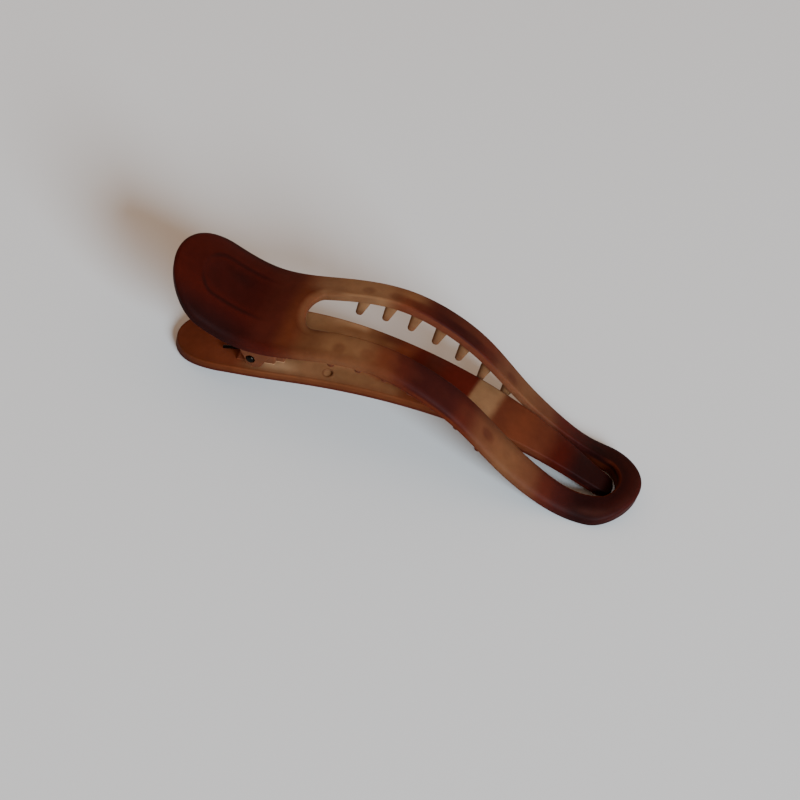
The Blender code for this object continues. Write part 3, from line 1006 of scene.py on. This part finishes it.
route = spring_route()
links = [(i, i + 1) for i in range(len(route) - 1)]
spring = grown(add_mesh("spring_route", route.tolist(), links), "coil_spring", wire_tree(), {
    "Wire radius": WIRE_RADIUS, "Sides": WIRE_SIDES, "Material": DRAWN_STEEL})
pin = rod_across("steel_pin", PIN_RADIUS, UPPER_EAR.outer + PIN_PROUD, PIN_CHAMFER)
pin.data.materials.append(DRAWN_STEEL)
for piece in (spring, pin):
    shade_softly(piece.data)
print("spring wire:", round(float(np.linalg.norm(np.diff(route, axis=0), axis=1).sum() / MM)), "mm")

# %% [markdown]
# ## Distances that the paint follows
#
# Paint stands in for the way light passes through the plastic: darker along an outline, as
# painted shade, and paler at a thin inner edge, as painted light. The materials need to know
# how far a point is from the outline, from the opening and from the top of the wall. Python
# measures those once for each vertex and stores them as attributes of the mesh.

# %% Measure each vertex
JUST_INSIDE = 0.01


def measure(piece, spokes, middle):
    """Keep each vertex's distances to the outline, the opening and the wall's top."""
    mesh = piece.data
    co = np.empty(3 * len(mesh.vertices))
    mesh.vertices.foreach_get("co", co)
    co = co.reshape(-1, 3) / MM
    plan, height = co[:, :2] + (CLIP_LENGTH / 2, 0), co[:, 2]
    held = np.clip(plan[:, 0], JUST_INSIDE, CLIP_LENGTH - JUST_INSIDE)
    values = {"outer_mm": distance_to(spokes.outer, plan),
              "depth_mm": middle(held, plan[:, 1]) + WALL / 2 - height}
    if spokes.inner_is_edge:
        values["window_mm"] = distance_to(spokes.inner, plan)
    for name in [a.name for a in mesh.attributes if a.name.endswith("_mm")]:
        mesh.attributes.remove(mesh.attributes[name])
    store(mesh, values)


measure(upper_jaw, upper_spokes(), upper_middle)
measure(lower_jaw, lower_spokes(), lower_middle)
print("attributes:", sorted(a.name for a in upper_jaw.data.attributes if a.name.endswith("_mm")))

# %% [markdown]
# ## Frosted tortoise plastic
#
# A few plastics are poured together for this look, so the colour runs in bands along
# the clip: near black, cherry, chestnut, amber, and back. A colour ramp along the clip
# gives the bands, and noise bends their borders. More colour is then laid over them in
# patches, where the moulding is thick, thin or sunk. Some patches are the plastic's own
# colour; others are painted shade along outlines, walls and creases, and painted light on
# faces and thin edges that catch the light. Each patch is one line: its colour, how much of
# it covers the rest, and the spans of distance that it lies in. The plastic is frosted: it
# has hardly any highlight, and a little light wanders inside it.

# %% Mix the plastics


def shade(red, green, blue):
    """A screen colour, from 0 to 255 a channel, as the linear colour a shader takes."""
    def linear(channel):
        value = channel / 255
        return value / 12.92 if value <= 0.04045 else ((value + 0.055) / 1.055) ** 2.4
    return tuple(linear(channel) for channel in (red, green, blue))


NIGHT = shade(28, 8, 7)
PLUM = shade(47, 15, 12)
CHERRY = shade(53, 12, 7)
UMBER = shade(60, 31, 26)
WINE = shade(64, 11, 5)
MAHOGANY = shade(64, 23, 15)
BLOOD = shade(72, 20, 12)
COCOA = shade(72, 33, 16)
CHESTNUT = shade(76, 35, 21)
SIENNA = shade(78, 37, 18)
WALNUT = shade(80, 43, 25)
OAK = shade(82, 46, 29)
EMBER = shade(84, 32, 13)
RUSSET = shade(85, 40, 23)
ROSEWOOD = shade(90, 45, 30)
HONEY = shade(90, 55, 34)
BRICK = shade(96, 46, 26)
COPPER = shade(107, 51, 31)
AMBER = shade(108, 73, 47)
HORN = shade(114, 78, 52)
TAN = shade(115, 82, 56)
CLAY = shade(118, 75, 49)
BISCUIT = shade(131, 89, 60)
SAND = shade(146, 116, 88)
CREAM = shade(190, 150, 112)


def near(middle, reach):
    """A span about a place, full there and gone at a reach from it."""
    return middle - reach, middle, middle, middle + reach


def blend_colours(graph, share, first, second, mode="MIX"):
    """The first colour where the share is 0 and the second where it is 1."""
    return graph.add("ShaderNodeMix", {"Factor": share, "A": first, "B": second},
                     data_type="RGBA", blend_type=mode)


def noise(graph, where, per_mm, detail=2.0, roughness=0.5):
    """Soft noise between 0 and 1, with its grain given as a count per millimetre."""
    return graph.add("ShaderNodeTexNoise", {
        "Vector": where, "Scale": per_mm / MM, "Detail": detail, "Roughness": roughness})


def set_stops(ramp, bands):
    ramp.interpolation = "EASE"
    while len(ramp.elements) < len(bands):
        ramp.elements.new(0.5)
    for element, band in zip(ramp.elements, bands):
        element.position = band.along / CLIP_LENGTH
        element.color = solid(band.plastic)


def coat(graph, height, strength, depth, look):
    """The end of a shader: a fine bump and a surface that has the look."""
    bump = graph.add("ShaderNodeBump", {"Strength": strength, "Distance": depth, "Height": height})
    shader = graph.add("ShaderNodeBsdfPrincipled", dict(look, Normal=bump))
    graph.add("ShaderNodeOutputMaterial", {"Surface": shader})


class Tortoise:
    """A jaw's material: where its plastics lie, and the frosted surface."""

    def __init__(self, material, bands, slant, wobble):
        """Bands along the clip, with bent borders; slant moves them across the clip."""
        material.node_tree.nodes.clear()
        self.graph = graph = Graph(material.node_tree)
        self.where = graph.add("ShaderNodeTexCoord").of("Object")
        axis = graph.add("ShaderNodeSeparateXYZ", {0: self.where})
        self.along = axis.of("X") / MM + CLIP_LENGTH / 2
        self.side = axis.of("Y") / MM
        self.outer, self.window, self.depth = (
            graph.add("ShaderNodeAttribute", attribute_name=name).of("Fac")
            for name in ("outer_mm", "window_mm", "depth_mm"))
        bent = (noise(graph, self.where, 0.05) - 0.5) * (2 * wobble)
        on_ramp = (self.along + self.side * slant + bent) / CLIP_LENGTH
        self.colour = graph.add("ShaderNodeValToRGB", {"Fac": on_ramp})
        set_stops(self.colour.socket.node.color_ramp, bands)

    def lay(self, plastic, share, **spans):
        """Blend a share of one colour over the colour so far, where all the spans hold: a plastic, or
        painted light or shade.
        """
        for distance, span in spans.items():
            share = getattr(self, distance).within(*span) * share
        self.colour = blend_colours(self.graph, share, self.colour, solid(plastic))

    def finish(self):
        """Mottling, the frosted surface and the shader."""
        graph = self.graph
        cloud = noise(graph, self.where, 0.35, 4.0, 0.6) * 0.5 + 0.75
        grey = graph.add("ShaderNodeCombineColor", {"Red": cloud, "Green": cloud, "Blue": cloud})
        mottled = blend_colours(graph, 1.0, self.colour, grey, "MULTIPLY")
        grain = noise(graph, self.where, 5.0, 3.0, 0.6)
        frost = noise(graph, self.where, 1.2, 2.0, 0.5)
        coat(graph, grain, 0.35, 0.00004, {
            "Base Color": mottled, "Roughness": frost * 0.14 + 0.46, "IOR": 1.49,
            "Specular IOR Level": 0.03, "Subsurface Weight": 0.2,
            "Subsurface Radius": (1.0, 0.45, 0.25), "Subsurface Scale": 0.0025})


print("near black is", [round(v, 3) for v in NIGHT])

# %% [markdown]
# ## Where the upper jaw's plastics lie
#
# The pad is cherry, with painted shade that makes it nearly black along its front and back,
# and painted shade in the thumb's hollow and its crease. The rails are amber with a plum
# stretch in their middle, with painted shade beside the opening and along the outline, and
# the tip is nearly black. The inner wall of the back rail, which faces the light, has a
# copper painted light, and so has the tight edge of the opening at the tip. The teeth's
# roots show through the rails as dull ovals.

# %% Pour the upper jaw
UPPER_BANDS = table(
    "along plastic",
    (0, CHERRY), (22, CHERRY), (30, MAHOGANY), (35, RUSSET), (40, HONEY), (46, AMBER),
    (53, AMBER), (60, RUSSET), (65, MAHOGANY), (70, PLUM), (79, PLUM), (84, MAHOGANY),
    (90.5, OAK), (98, HONEY), (105, OAK), (110.5, MAHOGANY), (115, PLUM), (121, NIGHT),
    (135, PLUM))
ROOT_FRONT_SIDE = -12.3
ROOT_BACK_SIDE = 10.3
ROOT_OVAL = (2.3, 1.9)


def lay_pad(paint):
    """Painted shade along the front and back edges, in the hollow, its crease and a spot inside it; a faint
    dark patch near the end; painted shade and a painted highlight on the wide lip.
    """
    into_end = (paint.along - HOLLOW_START).math("MINIMUM", 0.0)
    paint.hollow = (into_end / HOLLOW_ROUND_END).hypot(paint.side / HOLLOW_HALF_WIDTH)
    # painted shade: the pad's front and back edges, darker where the surface turns away from the light
    paint.lay(NIGHT, 0.95, along=(33, 18), side=(-6.5, -14.5))
    paint.lay(NIGHT, 0.6, along=(33, 18), side=(11.5, 14.5))
    # painted shade inside the thumb's hollow and in its crease, and a painted shadow near the hollow's back
    # border
    paint.lay(NIGHT, 0.42, along=(33, 18), hollow=(1.0, 0.5))
    beside = paint.side.math("ABSOLUTE").within(1.5, 6) * 0.6 + 0.15
    paint.lay(NIGHT, beside, along=(29, 20), hollow=near(0.96, 0.17))
    paint.lay(NIGHT, 0.6, along=near(17.5, 6), side=near(3.2, 3.6))
    paint.lay(NIGHT, 0.2, along=near(7, 8), side=near(0, 9))
    # painted shade in a crease outside the lip, and a painted highlight on the lip's rounded edge
    paint.lay(CHESTNUT, 0.3, along=(42, 38), window=near(LIP_ROUND, 0.5))
    paint.lay(TAN, 0.3, along=(42, 38), window=near(LIP_ROUND - 1.6, 1.6))


def lay_rails(paint):
    """Painted shade beside the opening, painted light on the back rail near the pad where it faces away from
    the light, other tones along the back edge, dark at the tip.
    """
    front = paint.side.within(3, -3)
    beside = (paint.along.within(*near(84, 30)) * 0.3 + 0.2) * (front * 0.8 + 0.2)
    # painted shade beside the opening
    paint.lay(NIGHT, beside, along=(36, 42), window=(3.8, 0.5))
    paint.lay(NIGHT, 0.2, along=near(80, 18), side=near(10.4, 2.4))
    # painted light: the back rail near the pad, which faces away from the key light
    paint.lay(SAND, 0.35, along=(32, 39, 46, 62), side=(6, 10.5))
    paint.lay(AMBER, 0.8, along=near(60.5, 7.5), side=(10.5, 12.6))
    paint.lay(RUSSET, 0.4, along=near(80, 16), side=(11, 12.6))
    paint.lay(WINE, 0.7, along=(104, 112), side=(10, 13))
    paint.lay(NIGHT, 0.85, along=(112, 120), side=(10, 13))


def lay_tooth_roots(paint):
    """An oval over each tooth's root, dull on amber and dark past the plum stretch."""
    first = TEETH_START - 4
    in_row = paint.along.within(first, first + 2, 95, 99) * (1 - paint.along.within(*near(74, 14)))
    for shift, root_side in ((FRONT_ROW_SHIFT, ROOT_FRONT_SIDE), (0.0, ROOT_BACK_SIDE)):
        step = (paint.along - (TEETH_START + shift)) / TEETH_PITCH
        beside = (step - step.math("ROUND")) * TEETH_PITCH / ROOT_OVAL[0]
        oval = beside.hypot((paint.side - root_side) / ROOT_OVAL[1]).within(1.1, 0.4)
        paint.lay(CHESTNUT, oval * in_row * 0.4, depth=(1.2, 0.4))
        paint.lay(PLUM, oval * 0.45, along=near(89, 10), depth=(1.2, 0.4))


def lay_inner_wall(paint):
    """Painted light on the back rail's wall inside the opening, which faces the light."""
    wall = paint.side.within(0, 2) * paint.window.within(1.1, 0.3) * paint.depth.within(0.2, 0.8)
    # painted light: copper, amber and oak on the wall that faces the key light
    paint.lay(ROSEWOOD, wall * 0.9, along=(56, 62, 103, 111))
    paint.lay(AMBER, wall * 0.35, along=near(95, 11))
    paint.lay(OAK, wall * 0.45, along=near(48, 7))


def lay_tip(paint):
    """Dark about the opening and paler outside it; painted light on the opening's tight edge and on the
    lower inner wall at its end.
    """
    paint.lay(NIGHT, 0.6, along=(116, 124), window=near(1.6, 1.8))
    paint.lay(NIGHT, 0.5, along=(102, 112), side=(3, -3), window=(1.5, 0.5))
    paint.lay(UMBER, 0.85, along=(116, 124), side=(7, -2), window=(3, 6.5), outer=(0.5, 2))
    # painted light: an orange glow on the low inner wall and the tight edge of the opening
    paint.lay(EMBER, 0.55, along=(116, 124), window=(0.6, 0.1), depth=(1.6, 2.4))
    painted_edge_light = (paint.side.within(3, -3) + paint.along.within(122, 128)).clamped() * 0.45
    paint.lay(EMBER, painted_edge_light, along=(104, 112), window=(0.8, 0.3), depth=(1.1, 0.7))


def lay_hanging(paint):
    """The ears and the teeth, which hang below the wall."""
    hanging = paint.depth.within(WALL + 0.2, WALL + 0.9) * paint.along.within(117.5, 116.5)
    paint.lay(OAK, hanging * 0.8, along=(42, 38))
    paint.lay(HORN, hanging * 0.85, along=(38, 42))
    paint.lay(RUSSET, 0.35, along=(38, 42), depth=(6.6, 8.2))
    paint.lay(MAHOGANY, hanging * 0.8, along=(38, 42), side=(2, -2))
    return hanging


def lay_outline(paint, hanging):
    """The front wall with painted shade, an orange painted light along its edge, and painted shade in thin
    lines along the outline.
    """
    front = (1 - hanging) * paint.side.within(5, 0)
    # painted shade: the front wall, darker where it falls away below the top
    paint.lay(WALNUT, front * 0.7, along=(30, 40, 58, 68), outer=(3, 0.3))
    paint.lay(CHERRY, front * 0.75, along=near(31, 11), outer=(3, 0.3))
    # painted light: an orange glow on the thin front edge of the plum stretch
    paint.lay(EMBER, front * 0.7, along=near(78, 20), outer=(0.9, 0.1), depth=(0.8, 1.6))
    # painted shade: thin dark lines along the front's lower outline and along the back outline
    lined = 1 - paint.along.within(*near(50, 15))
    paint.lay(NIGHT, front * lined * 0.4, outer=(0.9, 0.1), depth=(1.9, 2.6))
    paint.lay(NIGHT, (1 - hanging) * 0.5, side=(0, 5), outer=(0.9, 0.1))


def pour_upper():
    paint = Tortoise(TORTOISE_UPPER, UPPER_BANDS, slant=0.0, wobble=1.6)
    for lay in (lay_pad, lay_rails, lay_tooth_roots, lay_inner_wall, lay_tip):
        lay(paint)
    lay_outline(paint, lay_hanging(paint))
    paint.finish()


pour_upper()
print("upper bands:", len(UPPER_BANDS), "nodes:", len(TORTOISE_UPPER.node_tree.nodes))

# %% [markdown]
# ## Where the lower jaw's plastics lie
#
# The lower jaw has harder borders. The blade goes from blood red to tan within a
# millimetre and comes back more softly, both on a slant. The pad is copper. Cream patches
# are painted light: under the front ear, and behind the ears where the upper jaw shades the
# blade. The front wall and the outline get painted shade, and a ring of chestnut is painted
# shade about the mark of the ejector pin.

# %% Pour the lower jaw
LOWER_BANDS = table(
    "along plastic",
    (4, COPPER), (24, COPPER), (30, CLAY), (36.5, BISCUIT), (51, BISCUIT), (57, CLAY),
    (62, COPPER), (67, BLOOD), (70.5, MAHOGANY), (77, BLOOD), (83, BLOOD), (84.2, TAN),
    (89.8, TAN), (92.6, CHESTNUT), (99.5, RUSSET), (105, CHESTNUT), (112, CHERRY), (118, NIGHT),
    (128, NIGHT))


def pour_lower():
    paint = Tortoise(TORTOISE_LOWER, LOWER_BANDS, slant=-0.18, wobble=0.4)
    # painted light: cream patches inside the opening, where the upper jaw shades the blade
    paint.lay(CREAM, 0.8, along=near(38, 12), side=near(9, 8))
    paint.lay(CREAM, 0.4, along=near(48, 10), side=near(6, 3.5))
    paint.lay(CREAM, 0.7, along=(40, 45, 51, 54), side=(8, 11))
    paint.lay(BLOOD, 0.7, along=near(60, 9), side=(6.5, 9))
    paint.lay(AMBER, 0.8, along=(40, 52, 64, 70), side=(-5, -7.5))
    paint.lay(BRICK, 0.85, along=(64, 70, 78, 84), side=(-5, -7.5))
    # painted light: a pale crescent under the front ear
    paint.lay(CREAM, 0.52, along=near(33, 8.5), side=near(-9.6, 3.2))
    paint.lay(CHERRY, 0.5, along=(15, 5))
    paint.lay(RUSSET, 0.35, along=(84, 70), side=(3, 0), outer=(2.4, 0.3))
    # painted shade on the blade's front wall near the tip
    paint.lay(SIENNA, 0.75, along=(106, 94), side=(3, 0), outer=(0.7, 0.1))
    paint.lay(COCOA, 0.6, along=(106, 94), side=(3, 0), outer=(0.7, 0.1), depth=(0.3, 0.9))
    # painted shade: dark lines along the outline
    paint.lay(CHERRY, 0.7, outer=(0.8, 0.1), depth=(1.4, 2.2))
    paint.lay(CHERRY, 0.5, side=(0, 3), outer=(0.8, 0.1))
    paint.lay(CHESTNUT, 0.92, depth=(-0.08, -0.35))
    # painted shade: a dark ring about the ejector mark
    mark_along, mark_side = EJECTOR_MARK
    from_mark = (paint.along - mark_along).hypot(paint.side - mark_side)
    paint.lay(CHESTNUT, from_mark.within(*near(EJECTOR_RADIUS, 0.45)) * 0.5)
    paint.finish()


pour_lower()
print("lower bands:", len(LOWER_BANDS), "nodes:", len(TORTOISE_LOWER.node_tree.nodes))

# %% [markdown]
# ## Drawn steel
#
# The pin and the wire are drawn through a die, which leaves fine lines along them and a
# dull shine. Their colour is set nearly black, as painted shade for the dark surroundings
# that the steel reflects and the shade that the wire lies in. Noise that is stretched along
# the rod gives the lines.

# %% Draw the steel
# painted shade: steel colours set nearly black
DARK_STEEL = (0.003, 0.0025, 0.002)
PALE_STEEL = (0.014, 0.011, 0.009)


def draw_steel():
    DRAWN_STEEL.node_tree.nodes.clear()
    graph = Graph(DRAWN_STEEL.node_tree)
    where = graph.add("ShaderNodeTexCoord").of("Object")
    stretched = graph.add("ShaderNodeMapping", {"Vector": where, "Scale": (1.0, 0.05, 1.0)})
    lines = noise(graph, stretched, 6.0, 3.0, 0.6)
    patchy_tone = noise(graph, where, 0.8, 3.0, 0.6)
    colour = blend_colours(graph, patchy_tone, solid(DARK_STEEL), solid(PALE_STEEL))
    coat(graph, lines, 0.3, 0.00002, {
        "Base Color": colour, "Metallic": 1.0, "Roughness": lines * 0.2 + 0.22})


draw_steel()
print("steel nodes:", len(DRAWN_STEEL.node_tree.nodes))

# %% [markdown]
# ## The floor
#
# A plain pale sheet, large enough that its edge never shows. It isn't part of the clip.

# %% Lay the floor
FLOOR_SIZE = 6.0
FLOOR_SHADE = (0.60, 0.60, 0.605)

floor_paint = empty_material("pale_sheet")
floor_inputs = floor_paint.node_tree.nodes["Principled BSDF"].inputs
floor_inputs["Base Color"].default_value = solid(FLOOR_SHADE)
floor_inputs["Roughness"].default_value = 0.8
floor_inputs["Specular IOR Level"].default_value = 0.2
half_floor = FLOOR_SIZE / 2
corners = [(x * half_floor, y * half_floor, 0) for x, y in ((-1, -1), (1, -1), (1, 1), (-1, 1))]
floor = add_mesh("floor", corners, faces=[(0, 1, 2, 3)])
floor.data.materials.append(floor_paint)
print("floor:", FLOOR_SIZE, "m square")

# %% [markdown]
# ## Put each piece on its body
#
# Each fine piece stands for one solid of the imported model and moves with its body. The
# spring crosses the hinge: one leg stays with the lower jaw, the other goes with the
# upper jaw, and the coil twists between them, a little more with each turn.

# %% Seat the pieces
HINGE = Vector(place(PIN_ALONG, 0.0, PIN_HEIGHT))
COIL_END = Vector((0, COIL_SPAN / 2 * MM, 0))

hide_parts("upper_jaw")
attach(upper_jaw, "upper")
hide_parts("lower_jaw")
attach(lower_jaw, "lower")
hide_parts("hinge_pin")
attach(pin, "lower")
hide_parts("torsion_spring")
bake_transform(spring, "lower", "upper", start=tuple(HINGE - COIL_END), end=tuple(HINGE + COIL_END))
for piece in (upper_jaw, lower_jaw, pin, spring):
    triangles = sum(len(face.vertices) - 2 for face in piece.data.polygons)
    print(piece.name, triangles, "triangles")
